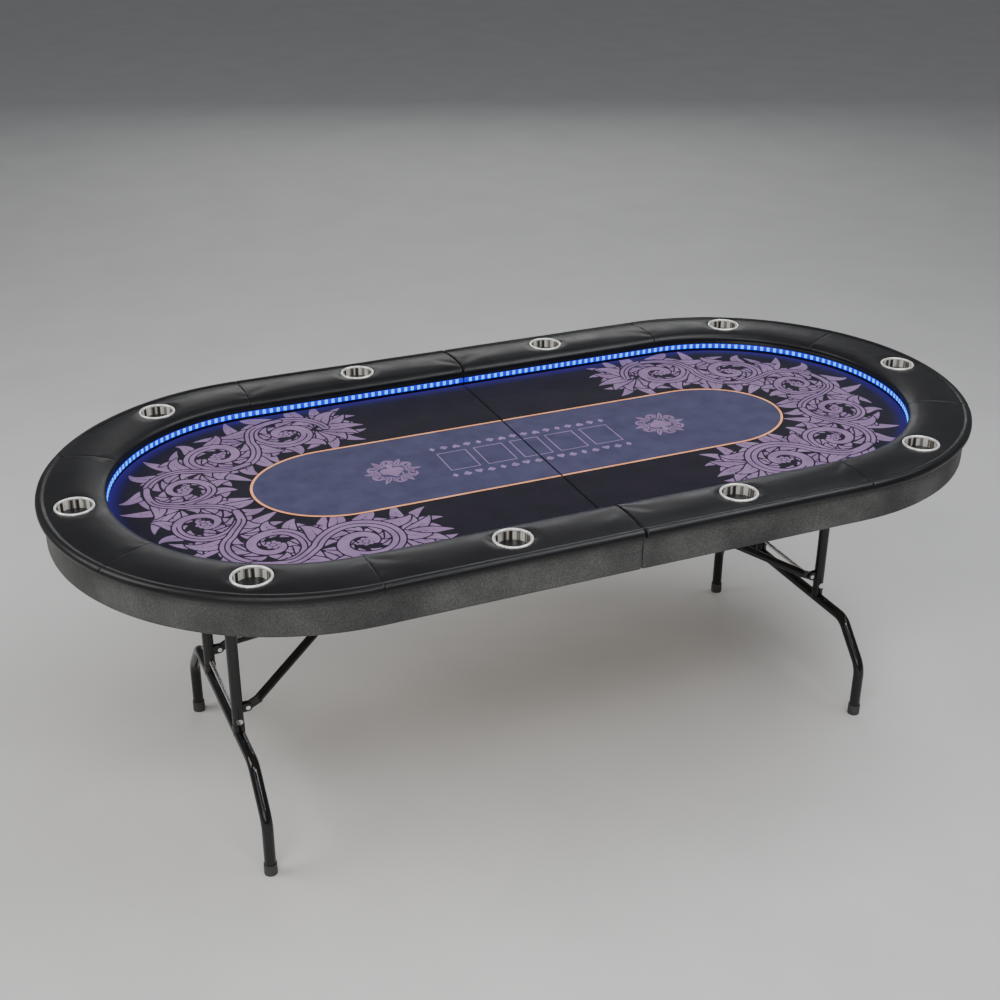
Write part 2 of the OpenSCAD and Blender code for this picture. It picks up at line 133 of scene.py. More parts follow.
# ---- materials
class Material:
    """A Principled material with procedural colour, roughness and bump in object coordinates."""

    def __init__(self, name, colour, rough, **sockets):
        self.mat = bpy.data.materials.new(name)
        self.mat.use_nodes = True
        self.tree = self.mat.node_tree
        self.shader = self.tree.nodes["Principled BSDF"]
        self.shader.inputs["Base Color"].default_value = (*colour, 1)
        self.shader.inputs["Roughness"].default_value = rough
        for key, value in sockets.items():
            self.shader.inputs[key.replace("_", " ")].default_value = value
        self.coords = self.tree.nodes.new("ShaderNodeTexCoord").outputs["Object"]
        self.normal = None

    def node(self, kind, links=None, **values):
        n = self.tree.nodes.new(kind)
        for key, value in values.items():
            if key in n.inputs:
                n.inputs[key].default_value = value
            else:
                setattr(n, key, value)
        for key, source in (links or {}).items():
            self.tree.links.new(source, n.inputs[key])
        return n

    def scaled(self, factors):
        return self.node("ShaderNodeMapping", {"Vector": self.coords}, Scale=factors).outputs[0]

    def around(self, streaks):
        """Coordinates that change only with the direction from the object's own Z axis."""
        flat = self.scaled((1.0, 1.0, 0.0))
        way = self.node("ShaderNodeVectorMath", {0: flat}, operation="NORMALIZE")
        return self.node("ShaderNodeVectorMath", {0: way.outputs[0]}, operation="SCALE",
                         Scale=streaks).outputs[0]

    def noise(self, scale, detail=2.0, rough=0.5, coords=None):
        n = self.node("ShaderNodeTexNoise", {"Vector": coords or self.coords}, Scale=scale,
                      Detail=detail, Roughness=rough)
        return n.outputs["Fac"]

    def cells(self, scale):
        n = self.node("ShaderNodeTexVoronoi", {"Vector": self.coords}, Scale=scale,
                      feature="DISTANCE_TO_EDGE")
        return n.outputs["Distance"]

    def plug(self, socket, source):
        """Links a socket to another one, or sets it to plain values."""
        if isinstance(source, bpy.types.NodeSocket):
            self.tree.links.new(source, socket)
        else:
            socket.default_value = source

    def maths(self, operation, *sources):
        n = self.node("ShaderNodeMath", operation=operation)
        for socket, source in zip(n.inputs, sources):
            self.plug(socket, source)
        return n.outputs[0]

    def blend(self, share, first, second):
        """A mix of two colours."""
        n = self.node("ShaderNodeMix", {"Factor": share}, data_type="RGBA")
        self.plug(n.inputs["A"], first)
        self.plug(n.inputs["B"], second)
        return n.outputs["Result"]

    def axis(self, name):
        return self.node("ShaderNodeSeparateXYZ", {"Vector": self.coords}).outputs[name]

    def feed(self, name, source):
        self.plug(self.shader.inputs[name], source)

    def ramp(self, source, stops):
        n = self.node("ShaderNodeValToRGB", {"Fac": source})
        ramp = n.color_ramp
        while len(ramp.elements) < len(stops):
            ramp.elements.new(0.5)
        for element, (at, colour) in zip(ramp.elements, stops):
            element.position = at
            element.color = (*colour, 1)
        return n.outputs["Color"]

    def mottle(self, low, high, scale, detail):
        """Colour that drifts between two values."""
        drift = self.noise(scale, detail, 0.55)
        self.feed("Base Color", self.ramp(drift, [(0.32, low), (0.68, high)]))

    def mapped(self, source, start, end, low=0.0, high=1.0):
        n = self.node("ShaderNodeMapRange", {"Value": source})
        for name, value in (("From Min", start), ("From Max", end), ("To Min", low),
                            ("To Max", high)):
            n.inputs[name].default_value = value
        return n.outputs["Result"]

    def rough_range(self, source, low, high):
        self.feed("Roughness", self.mapped(source, 0.3, 0.7, low, high))

    def bump(self, height, distance, strength):
        """Adds a bump on top of those before it; distance in metres."""
        links = {"Height": height}
        if self.normal:
            links["Normal"] = self.normal
        n = self.node("ShaderNodeBump", links, Strength=strength, Distance=distance)
        self.normal = n.outputs["Normal"]
        self.feed("Normal", self.normal)


def leather_material():
    m = Material("rail_leather", (0.0085, 0.0085, 0.0095), 0.36, Specular_IOR_Level=0.26)
    m.mottle((0.0065, 0.0065, 0.0075), (0.0105, 0.0105, 0.0115), 5.0, 5)
    m.rough_range(m.noise(14, 4, 0.6), 0.30, 0.42)
    m.bump(m.noise(28, 3), 0.0006, 0.35)
    m.bump(m.cells(620), 0.00012, 0.55)
    m.bump(m.noise(2600, 2), 0.00004, 0.5)
    return m.mat


def apron_material():
    """Vinyl with a pebbled grain that shows as fine light and dark specks."""
    m = Material("apron_vinyl", (0.06, 0.06, 0.058), 0.6, Specular_IOR_Level=0.35)
    specks = m.noise(360, 3, 0.7)
    drift = m.noise(7, 3, 0.5)
    level = m.maths("ADD", m.maths("ADD", specks, drift), m.noise(1100, 2))
    mean = m.maths("DIVIDE", level, 3.0)
    m.feed("Base Color", m.ramp(mean, [(0.40, (0.024, 0.024, 0.0235)),
                                       (0.50, (0.057, 0.057, 0.055)),
                                       (0.60, (0.122, 0.121, 0.117))]))
    m.bump(m.cells(420), 0.00035, 0.9)
    m.bump(m.noise(1500, 2), 0.00012, 0.6)
    return m.mat


def cloth_material(name, low, high, lit=False):
    """Speed cloth: a fine twill over a soft mottled colour, with the strip's light painted on as a
    violet emission if asked.
    """
    m = Material(name, high, 0.86, Sheen_Weight=0.08, Sheen_Roughness=0.4,
                 Specular_IOR_Level=0.12)
    m.mottle(low, high, 22, 5)
    twill = m.node("ShaderNodeTexWave", {"Vector": m.coords}, Scale=260.0, Distortion=0.4,
                   wave_type="BANDS", bands_direction="DIAGONAL")
    m.bump(twill.outputs["Fac"], 0.00010, 0.35)
    m.bump(m.noise(1800, 2), 0.00008, 0.5)
    if lit:
        paint_strip_spill(m)
    return m.mat


# how far the strip's painted light reaches in from the well's wall
PAINTED_SPILL_REACH = 38 * MM


def paint_strip_spill(m):
    """Painted light: the strip's spill on the cloth, painted as a violet emission band that fades
    away from the well's wall.
    """
    from_end = m.maths("SUBTRACT", m.maths("ABSOLUTE", m.axis("X")), END_X)
    beyond = m.maths("POWER", m.maths("MAXIMUM", from_end, 0.0), 2.0)
    across = m.maths("POWER", m.maths("ABSOLUTE", m.axis("Y")), 2.0)
    from_centre = m.maths("SQRT", m.maths("ADD", beyond, across))
    near = m.maths("MAXIMUM", m.maths("SUBTRACT", from_centre, WELL_R - PAINTED_SPILL_REACH), 0.0)
    share = m.maths("POWER", m.maths("DIVIDE", near, PAINTED_SPILL_REACH), 1.7)
    # painted light: the cloth glows violet near the wall, though it is no lamp
    m.feed("Emission Color", (0.10, 0.02, 1.0, 1))
    m.feed("Emission Strength", m.maths("MULTIPLY", share, 0.20))


def steel_material():
    """Drawn steel with painted reflections: light and dark streaks in the colour that run down the
    wall and out over the rim, and a near-white painted highlight on the rim and the floor.
    """
    m = Material("cup_steel", (0.75, 0.74, 0.71), 0.22, Metallic=0.5)
    wide = m.noise(1.0, 2, 0.5, m.around(2.7))
    # painted reflections: streaks from near-black to white in the base colour
    streaks = m.ramp(wide, [(0.46, (0.050, 0.042, 0.034)), (0.52, (0.34, 0.32, 0.28)),
                            (0.58, (1.0, 0.99, 0.96))])
    # painted highlight: near-white colour more than 27 to 30 mm above or below the cup's middle, on
    # the rim and the floor
    rim = m.mapped(m.maths("ABSOLUTE", m.axis("Z")), 27 * MM, 30 * MM)
    m.feed("Base Color", m.blend(rim, streaks, (0.96, 0.95, 0.92, 1)))
    fine = m.noise(1.0, 4, 0.6, m.around(26.0))
    m.rough_range(fine, 0.16, 0.34)
    m.bump(fine, 0.00008, 0.35)
    return m.mat


def small_material(name, colour, rough, mottle, bump, spread=None, **sockets):
    """Mottled colour, one fine bump and, if given, roughness that drifts."""
    m = Material(name, colour, rough, **sockets)
    m.mottle(*mottle)
    if spread:
        grain, low, high = spread
        m.rough_range(m.noise(*grain), low, high)
    scale, distance, strength = bump
    m.bump(m.noise(scale, 2), distance, strength)
    return m.mat


def wood_material():
    """Plywood, near-black within half a millimetre of the fold, on the edges where the two halves
    meet.
    """
    m = Material("plywood", (0.5, 0.36, 0.21), 0.62)
    grain = m.scaled((1.2, 14.0, 14.0))
    source = m.noise(5.0, 6, 0.62, grain)
    colour = m.ramp(source, [(0.28, (0.30, 0.185, 0.095)), (0.5, (0.46, 0.32, 0.18)),
                             (0.72, (0.60, 0.45, 0.28))])
    bare = m.maths("GREATER_THAN", m.maths("ABSOLUTE", m.axis("X")), FOLD_X + 0.5 * MM)
    m.feed("Base Color", m.blend(bare, (0.006, 0.006, 0.006, 1), colour))
    m.bump(m.noise(60, 5, 0.6, grain), 0.00018, 0.5)
    return m.mat


def foam_material():
    m = Material("foam_grey", (0.08, 0.08, 0.08), 0.95)
    m.mottle((0.06, 0.06, 0.06), (0.10, 0.10, 0.10), 120, 3)
    m.bump(m.cells(900), 0.0001, 0.5)
    return m.mat


def glow_material(name, colour, light, strength):
    """Silicone lit from inside."""
    m = Material(name, colour, 0.35, Emission_Strength=strength)
    source = m.noise(300, 2)
    dim = tuple(c * 0.8 for c in light)
    m.feed("Emission Color", m.ramp(source, [(0.35, dim), (0.65, light)]))
    m.bump(m.noise(1500, 1), 0.00003, 0.3)
    return m.mat


# ---- mesh helpers
def piece(name, side, verts, faces, slot, material, mirror=True, smooth=True, origin=(0, 0, 0)):
    """A mesh piece that rides one half; mirror turns the right half's shape into the left's."""
    if mirror and side == "left":
        verts = [(-v[0], v[1], v[2]) for v in verts]
        faces = [tuple(reversed(f)) for f in faces]
    origin = Vector(origin)
    mesh = bpy.data.meshes.new(name)
    mesh.from_pydata([Vector(v) - origin for v in verts], [], [tuple(f) for f in faces])
    mesh.validate()
    if smooth:
        mesh.shade_smooth()
    mesh.materials.append(material)
    obj = bpy.data.objects.new(name, mesh)
    obj.location = origin
    bpy.context.collection.objects.link(obj)
    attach(obj, f"{side}_half")
    return obj


def modify(obj, kind, **values):
    mod = obj.modifiers.new(kind.lower(), kind)
    assign(mod, **values)
    return mod


# Distances along the rail's middle line, from the back of the fold round to its front.
STRAIGHT = END_X - FOLD_X
HALF_PATH = 2 * STRAIGHT + math.pi * MID_R
SEAMS = (0.0, STRAIGHT, STRAIGHT + (math.pi / 2 - SEAM_A) * MID_R,
         STRAIGHT + (math.pi / 2 + SEAM_A) * MID_R, STRAIGHT + math.pi * MID_R, HALF_PATH)
PAD_SPAN = dict(zip(PLACES, zip(SEAMS, SEAMS[1:])))


def rail_frame(s):
    """Base point and outward direction of the right half's rail at s along its middle line."""
    if s <= STRAIGHT:
        return Vector((FOLD_X + s, 0)), Vector((0, 1))
    if s >= STRAIGHT + math.pi * MID_R:
        return Vector((FOLD_X + HALF_PATH - s, 0)), Vector((0, -1))
    a = math.pi / 2 - (s - STRAIGHT) / MID_R
    return Vector((END_X, 0)), Vector((math.cos(a), math.sin(a)))


def on_rail(s, r, z):
    base, out = rail_frame(s)
    flat = base + out * r
    return Vector((flat.x, flat.y, z))


def stations(start, end, step, near=()):
    """Places along the rail from start to end, closer together near the ends."""
    inner = [start + d for d in near] + [end - d for d in near]
    reach = max(near, default=0.0)
    count = max(2, round((end - start - 2 * reach) / step))
    inner += [start + reach + (end - start - 2 * reach) * k / count for k in range(count + 1)]
    return sorted(set(round(s, 6) for s in inner + [start, end]))


def sweep(rings):
    """Faces between rings of points, each ring closed, with a fan over each end."""
    count = len(rings[0])
    verts = [p for ring in rings for p in ring]
    faces = []
    for i in range(len(rings) - 1):
        for j in range(count):
            a, b = i * count + j, i * count + (j + 1) % count
            faces.append((a, b, b + count, a + count))
    for i in (0, len(rings) - 1):
        ring = range(i * count, (i + 1) * count)
        verts.append(sum((Vector(verts[k]) for k in ring), Vector()) / count)
        mid = len(verts) - 1
        for j in range(count):
            a, b = ring[j], ring[(j + 1) % count]
            faces.append((mid, b, a) if i == 0 else (mid, a, b))
    return verts, faces


def merged(parts):
    verts, faces = [], []
    for v, f in parts:
        start = len(verts)
        verts += v
        faces += [tuple(i + start for i in face) for face in f]
    return verts, faces


def even(points, count):
    """A closed outline resampled to count points at equal distances."""
    pts = [Vector(p) for p in points]
    pts.append(pts[0])
    lengths = [0.0]
    for a, b in zip(pts, pts[1:]):
        lengths.append(lengths[-1] + (b - a).length)
    out, k = [], 0
    for n in range(count):
        target = lengths[-1] * n / count
        while lengths[k + 1] < target:
            k += 1
        span = lengths[k + 1] - lengths[k]
        out.append(pts[k].lerp(pts[k + 1], (target - lengths[k]) / span))
    return out


def rounded_box(r0, r1, z0, z1, radius, per_corner=4):
    """Outline of a section with rounded corners, as (radius, height)."""
    pts = []
    for cx, cz, a0 in ((r1 - radius, z0 + radius, -90), (r1 - radius, z1 - radius, 0),
                       (r0 + radius, z1 - radius, 90), (r0 + radius, z0 + radius, 180)):
        for k in range(per_corner + 1):
            a = math.radians(a0 + 90 * k / per_corner)
            pts.append(Vector((cx + radius * math.cos(a), cz + radius * math.sin(a))))
    return pts


# ---- rail pads
PAD_STEP = 7 * MM
PAD_NEAR = [d * MM for d in (0.5, 1.2, 2.2, 3.6, 5.5, 8.0, 11.0, 15.0)]
PAD_CROWN = 3.9 * MM
CREASE_IN, CREASE_Z = 18 * MM, PAD_HI.z - 6.0 * MM  # crease beside the outer roll
AT_FOLD, AT_SEAM = (4.5 * MM, 5 * MM), (1.8 * MM, 4.2 * MM)  # the cover's pull: depth, width
PUFF_FRAMES, PUFF_CAP = 14, 2.6 * MM
HELD_RINGS = 3  # rings held at each end of a pad
CUP_HOLE_R, CUP_HOLE_LIP = 37.6 * MM, 3.5 * MM
SEAT_R, SEAT_EASE, SEAT_DROP = 40 * MM, 22 * MM, 2.6 * MM  # dish round a cup
SLACK_MM, RIPPLE_REACH = 0.9, 22 * MM


def pad_outline():
    """Section of the padding: an outer roll, a crease, a crowned top and a soft inner shoulder."""
    low, under, hem = PAD_LO.z, 8 * MM, 3 * MM
    roll_z, roll_w, roll_h = PAD_HI.z - 2.5 * MM, 11 * MM, 10 * MM
    shoulder_z, shoulder_w, shoulder_h = PAD_HI.z - 3 * MM, 27 * MM, 13.5 * MM
    pts = []

    def corner(r, z, out, up, across, rise, count):
        """A quarter turn round the corner at r, z, anticlockwise."""
        first = {(1, -1): -90, (1, 1): 0, (-1, 1): 90, (-1, -1): 180}[out, up]
        for k in range(count + 1):
            a = math.radians(first + 90 * k / count)
            pts.append(Vector((r - out * across + across * math.cos(a),
                               z - up * rise + rise * math.sin(a))))

    def across(r_end, z_end, crown, count):
        """Points on to r_end, z_end, rising by crown in the middle."""
        start = pts[-1].copy()
        for k in range(1, count):
            t = k / count
            rise = crown * (1 - abs(2 * t - 1) ** 2.6)
            pts.append(start.lerp(Vector((r_end, z_end)), t) + Vector((0, rise)))

    corner(EDGE_R, low, 1, -1, under, under, 4)
    corner(EDGE_R, roll_z, 1, 1, roll_w, roll_h, 6)
    for inset, drop in ((14.0, 0.5), (16.2, 1.8)):
        pts.append(Vector((EDGE_R - inset * MM, roll_z - drop * MM)))
    pts.append(Vector((EDGE_R - CREASE_IN, CREASE_Z)))
    across(INNER_R + shoulder_w, shoulder_z, PAD_CROWN, 16)
    corner(INNER_R, shoulder_z, -1, 1, shoulder_w, shoulder_h, 7)
    corner(INNER_R, low, -1, -1, hem, hem, 2)
    across(EDGE_R - under, low, 0.0, 10)
    return pts


PAD_OUTLINE = pad_outline()
PAD_POINTS = len(PAD_OUTLINE)
PAD_MID = Vector((MID_R, (PAD_LO.z + PAD_HI.z) / 2))
PAD_CREASE = [i for i, p in enumerate(PAD_OUTLINE)
              if p.y > PAD_MID.y and abs(p.x - (EDGE_R - CREASE_IN)) < 3 * MM]


def seam_pull(d, depth, width):
    """How far the cover is drawn in at a distance d from a seam."""
    t = max(0.0, 1 - d / width)
    return depth * (1 - math.sqrt(max(0.0, 1 - t * t)))


def cup_spot(place, side):
    """Middle, floor height and rim height of a cup."""
    lo, hi = (Vector(c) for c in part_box(f"cup_{side}_{place}"))
    return (lo + hi) / 2, lo.z, hi.z


def pad_rings(place):
    start, end = PAD_SPAN[place]
    rings = []
    for s in stations(start, end, PAD_STEP, PAD_NEAR):
        pull = 0.0
        for edge, d in ((start, s - start), (end, end - s)):
            pull += seam_pull(d, *(AT_FOLD if edge in (0.0, HALF_PATH) else AT_SEAM))
        ring = []
        for p in PAD_OUTLINE:
            inward = (PAD_MID - p)
            inward.y *= 2.2
            q = p + inward.normalized() * pull
            ring.append(on_rail(s, q.x, q.y))
        rings.append(ring)
    return rings


def puff(obj):
    """Blows the cover up by cloth simulation, held along its underside, its crease and its seams.
    """
    mesh = obj.data
    rest = [v.co.copy() for v in mesh.vertices]
    group = obj.vertex_groups.new(name="held")
    z_held = PAD_LO.z + 0.45 * (PAD_HI.z - PAD_LO.z)
    rings = (len(rest) - 2) // PAD_POINTS  # the two points left over close the ends
    held = [i for i, co in enumerate(rest)
            if co.z < z_held or i % PAD_POINTS in PAD_CREASE
            or not HELD_RINGS <= i // PAD_POINTS < rings - HELD_RINGS]
    group.add(held, 1.0, "REPLACE")
    mod = modify(obj, "CLOTH")
    cloth = mod.settings
    assign(cloth, vertex_group_mass="held", use_pressure=True, uniform_pressure_force=1.6,
           tension_stiffness=18, compression_stiffness=18, shear_stiffness=12,
           bending_stiffness=2.5, quality=4)
    cloth.effector_weights.gravity = 0
    mod.point_cache.frame_start = 1
    mod.point_cache.frame_end = PUFF_FRAMES
    scene = bpy.context.scene
    for f in range(1, PUFF_FRAMES + 1):
        scene.frame_set(f)
    graph = bpy.context.evaluated_depsgraph_get()
    moved = [v.co.copy() for v in obj.evaluated_get(graph).data.vertices]
    obj.modifiers.clear()
    obj.vertex_groups.clear()
    scene.frame_set(1)
    for v, a, b in zip(mesh.vertices, rest, moved):
        step = b - a
        if step.length > PUFF_CAP:
            step *= PUFF_CAP / step.length
        v.co = a + step


def dress_pad(obj, place, side):
    """Ripples by the seams, slack in the leather and the dish and hole round the cup."""
    start, end = PAD_SPAN[place]
    mesh = obj.data
    mesh.update()
    centre, _, rim_z = cup_spot(place, side)
    flip = SIDES[side]
    normals = [v.normal.copy() for v in mesh.vertices]
    for v, n in zip(mesh.vertices, normals):
        co = v.co
        right = Vector((co.x * flip, co.y, co.z))
        s = along(right)
        d = min(s - start, end - s)
        slack = noise.noise(co * 9) * 0.5 + noise.noise(co * 26) * 0.22
        ripple = noise.noise(Vector((co.x * 55, co.y * 55, 3.0))) * math.exp(-d / RIPPLE_REACH)
        v.co = co + n * (slack + 0.9 * ripple) * SLACK_MM * MM
        if v.co.z < PAD_MID.y:
            continue
        away = math.hypot(v.co.x - centre.x, v.co.y - centre.y)
        if away < SEAT_R + SEAT_EASE:
            t = min(1.0, max(0.0, (away - SEAT_R) / SEAT_EASE))
            t = t * t * (3 - 2 * t)
            v.co.z = min(v.co.z, rim_z - SEAT_DROP) * (1 - t) + v.co.z * t
    cut_hole(mesh, centre)


def along(p):
    """Distance along the right half's middle line of the nearest place to p."""
    if p.x <= END_X:
        return p.x - FOLD_X if p.y > 0 else HALF_PATH - (p.x - FOLD_X)
    return STRAIGHT + (math.pi / 2 - math.atan2(p.y, p.x - END_X)) * MID_R


def cut_hole(mesh, centre):
    """Opens the cover under the cup's rim, with its edge turned down."""
    bm = bmesh.new()
    bm.from_mesh(mesh)
    inside = [v for v in bm.verts if v.co.z > PAD_MID.y
              and math.hypot(v.co.x - centre.x, v.co.y - centre.y) < CUP_HOLE_R]
    held = set(inside)
    edge = [v for v in inside if any(e.other_vert(v) not in held for e in v.link_edges)]
    for v in edge:
        flat = Vector((v.co.x - centre.x, v.co.y - centre.y)).normalized() * CUP_HOLE_R
        v.co = Vector((centre.x + flat.x, centre.y + flat.y, v.co.z - CUP_HOLE_LIP))
    gone = [f for f in bm.faces if all(v in held for v in f.verts)]
    bmesh.ops.delete(bm, geom=gone, context="FACES")
    loose = [v for v in bm.verts if not v.link_faces]
    bmesh.ops.delete(bm, geom=loose, context="VERTS")
    bm.to_mesh(mesh)
    bm.free()
    mesh.shade_smooth()


def rail_pads(leather):
    for side in SIDES:
        for place in PLACES:
            obj = piece(f"rail_pad_{side}_{place}", side, *sweep(pad_rings(place)),
                        "rail_leather", leather)
            puff(obj)
            dress_pad(obj, place, side)
            modify(obj, "SUBSURF", levels=1, render_levels=1)
            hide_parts(f"pad_{side}_{place}")


# ---- apron and well lining
BAND_NEAR = [d * MM for d in (0.3, 0.8, 1.5, 2.4, 4)]


def band(name, side, outline, slot, material, step=9 * MM, ease=2.2 * MM, wobble=0.0):
    """A strip that runs round one half of the rail, with eased ends at the fold."""
    mid = sum(outline, Vector((0, 0))) / len(outline)
    rings = []
    for s in stations(0, HALF_PATH, step, BAND_NEAR):
        pull = seam_pull(min(s, HALF_PATH - s), ease * 0.6, ease)
        ring = []
        for p in outline:
            q = p + (mid - p).normalized() * min(pull, (mid - p).length * 0.5)
            co = on_rail(s, q.x, q.y)
            if wobble:
                _, out = rail_frame(s)
                co += Vector((out.x, out.y, 0)) * (noise.noise(co * 7) * wobble)
            ring.append(co)
        rings.append(ring)
    return piece(name, side, *sweep(rings), slot, material)


def aprons(vinyl, leather):
    cover = even(rounded_box(CORE_R, APRON_R, APRON_LO.z, PAD_LO.z + 1 * MM, 2.6 * MM), 40)
    lining = rounded_box(WELL_R - WALL_T, WELL_R, FELT_Z - 0.2 * MM, PAD_LO.z + 2 * MM,
                         0.2 * MM, 1)
    for side in SIDES:
        skin = band(f"apron_cover_{side}", side, cover, "apron_vinyl", vinyl, ease=4.5 * MM,
                    wobble=0.5 * MM)
        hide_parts(f"apron_{side}")
        band(f"well_lining_{side}", side, lining, "rail_leather", leather)


# ---- cup holders
def cup_profile(rim_z, floor_z):
    """Closed section of a pressed cup: turned-over rim, wall, rounded foot, dished floor."""
    pts = []

    def arc(cr, cz, radius, a0, a1, count):
        for k in range(count + 1):
            a = math.radians(a0 + (a1 - a0) * k / count)
            pts.append((cr + radius * math.cos(a), cz + radius * math.sin(a)))

    inner, outer, wall, lip = 35.2 * MM, 40.0 * MM, 0.8 * MM, 5.4 * MM
    pts.append((outer, rim_z - lip))
    arc(outer - 2.2 * MM, rim_z - 2.2 * MM, 2.2 * MM, 0, 90, 7)
    arc(inner + 2.0 * MM, rim_z - 2.0 * MM, 2.0 * MM, 90, 180, 7)
    for k in range(1, 9):
        t = k / 9
        pts.append((inner - 1.1 * MM * t, rim_z - 2 * MM - (rim_z - floor_z - 9 * MM) * t))
    arc(inner - 7.1 * MM, floor_z + 7 * MM, 6 * MM, 0, -90, 7)
    pts.extend([(16 * MM, floor_z + 1.3 * MM), (0.0, floor_z + 1.9 * MM),
                (0.0, floor_z + 0.6 * MM), (26 * MM, floor_z)])
    arc(inner - 6.5 * MM, floor_z + 6.5 * MM, 6.5 * MM, -90, 0, 6)
    pts.append((inner + wall - 0.1 * MM, rim_z - 8 * MM))
    pts.append((inner + wall, rim_z - 3 * MM))
    arc(outer - 2.4 * MM, rim_z - 2.4 * MM, 1.6 * MM, 90, 0, 4)
    pts.append((outer - wall, rim_z - lip))
    return pts


LATHE_STEPS = 72


def lathe(profile, centre):
    """A closed section turned round an upright axis."""
    segments = LATHE_STEPS
    verts, faces, rings = [], [], []
    for r, z in profile:
        if r < 1e-6:
            verts.append((centre.x, centre.y, z))
            rings.append([len(verts) - 1])
            continue
        rings.append(list(range(len(verts), len(verts) + segments)))
        for k in range(segments):
            a = 2 * math.pi * k / segments
            verts.append((centre.x + r * math.cos(a), centre.y + r * math.sin(a), z))
    rings.append(rings[0])
    for a, b in zip(rings, rings[1:]):
        if len(a) == 1 and len(b) == 1:
            continue
        for k in range(segments):
            n = (k + 1) % segments
            if len(a) == 1:
                faces.append((a[0], b[k], b[n]))
            elif len(b) == 1:
                faces.append((a[n], a[k], b[0]))
            else:
                faces.append((a[n], a[k], b[k], b[n]))
    return verts, faces


def cups(steel):
    for side in SIDES:
        for place in PLACES:
            centre, floor_z, rim_z = cup_spot(place, side)
            obj = piece(f"cup_holder_{side}_{place}", side,
                        *lathe(cup_profile(rim_z, floor_z), centre), "cup_steel", steel,
                        mirror=False, origin=centre)
            fix_normals(obj)
            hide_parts(f"cup_{side}_{place}")


def fix_normals(obj):
    bm = bmesh.new()
    bm.from_mesh(obj.data)
    bmesh.ops.recalc_face_normals(bm, faces=bm.faces)
    bm.to_mesh(obj.data)
    bm.free()
    obj.data.shade_smooth()


# ---- cloth and its print
FOLD_TURN = 3 * MM  # radius that the cloth turns down with
CLOTH_T = FELT_HI.z - FELT_LO.z
TURN_XS = [FOLD_X + d * MM for d in (0, 0.05, 0.25, 0.6, 1.0, 1.05, 1.25, 1.6, 2.2, 3.0)]
PRINT_XS = [x for x in TURN_XS if x > FOLD_X + 0.3 * MM]
OUTLINE_STEP = 12 * MM
CLOTH_R = WELL_R - 0.6 * MM


def turn_down(x, start, radius, top):
    """Height at x of a layer that turns down over a radius, beginning at start."""
    d = min(max(x - start, 0.0), radius)
    return top - radius + math.sqrt(radius ** 2 - (radius - d) ** 2)


def cloth_z(x):
    return max(turn_down(x, FOLD_X, FOLD_TURN, FELT_Z), FELT_Z - FOLD_TURN + 0.3 * MM)


def foam_z(x):
    return turn_down(x, FOLD_X + CLOTH_T, FOLD_TURN - CLOTH_T, FELT_LO.z)


def half_outline(r, xs):
    """Outline of one half of a racetrack of radius r, with a point at each of xs by the fold."""
    count = round(math.pi * r / OUTLINE_STEP)
    arc = [Vector((END_X + r * math.sin(math.pi * k / count), -r * math.cos(math.pi * k / count)))
           for k in range(count + 1)]
    return [Vector((x, -r)) for x in xs] + arc + [Vector((x, r)) for x in reversed(xs)]


def cover(count, rows):
    """Faces over an outline that starts and ends with the same rows by the fold."""
    faces = [(i, i + 1, count - 2 - i, count - 1 - i) for i in range(rows - 1)]
    return faces + [tuple(range(rows - 1, count - rows + 1))]


def layer(outline, rows, top, low):
    """A closed layer over an outline, between two heights that depend on x."""
    count = len(outline)
    verts = [(p.x, p.y, low(p.x)) for p in outline] + [(p.x, p.y, top(p.x)) for p in outline]
    lid = cover(count, rows)
    faces = [tuple(reversed(f)) for f in lid] + [tuple(i + count for i in f) for f in lid]
    faces += [(k, (k + 1) % count, (k + 1) % count + count, k + count) for k in range(count)]
    return verts, faces


def cloths(dark, foam):
    board_top, r = BOARD_HI.z, CLOTH_R
    foam_xs = [x for x in TURN_XS if x > FOLD_X + CLOTH_T]
    for side in SIDES:
        under = piece(f"cloth_foam_{side}", side,
                      *layer(half_outline(r, foam_xs), len(foam_xs), foam_z,
                             lambda x: board_top + 0.05 * MM),
                      "foam_grey", foam, smooth=False)
        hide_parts(f"foam_{side}")
        obj = piece(f"playing_cloth_{side}", side,
                    *layer(half_outline(r, TURN_XS), len(TURN_XS), cloth_z,
                           lambda x: max(foam_z(x), board_top + 0.1 * MM)),
                    "felt_print", dark, smooth=False)
        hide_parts(f"felt_{side}")


# The light field's outline: straight sides, each end half an ellipse.
FIELD_STRAIGHT = 446 * MM
FIELD_END = 192 * MM
FIELD_HALF_W = 162.5 * MM
LINE_W = 5.4 * MM
PRINT_Z = 0.12 * MM
EMBLEM_X = 328 * MM
EMBLEM_SIZE = 1.25


def field_outline(inset):
    half_w, end, count = FIELD_HALF_W - inset, FIELD_END - inset, 40
    arc = [Vector((FIELD_STRAIGHT + end * math.sin(math.pi * k / count),
                   -half_w * math.cos(math.pi * k / count))) for k in range(count + 1)]
    return ([Vector((x, -half_w)) for x in PRINT_XS] + arc
            + [Vector((x, half_w)) for x in reversed(PRINT_XS)])


def printed(name, side, verts, faces, material, lift):
    """A printed layer: faces just above the cloth that follow it down at the fold."""
    return piece(f"print_{name}_{side}", side, [(x, y, cloth_z(x) + lift) for x, y in verts],
                 faces, "felt_print", material, smooth=False)


def field_and_line(navy, peach):
    for side in SIDES:
        outline = field_outline(LINE_W * 0.5)
        printed("field", side, outline, cover(len(outline), len(PRINT_XS)), navy, PRINT_Z)
        outer, inner = field_outline(0.0), field_outline(LINE_W)
        n = len(outer)
        faces = [(k + n, k, k + 1, k + 1 + n) for k in range(n - 1)]
        printed("line", side, outer + inner, faces, peach, 2 * PRINT_Z)


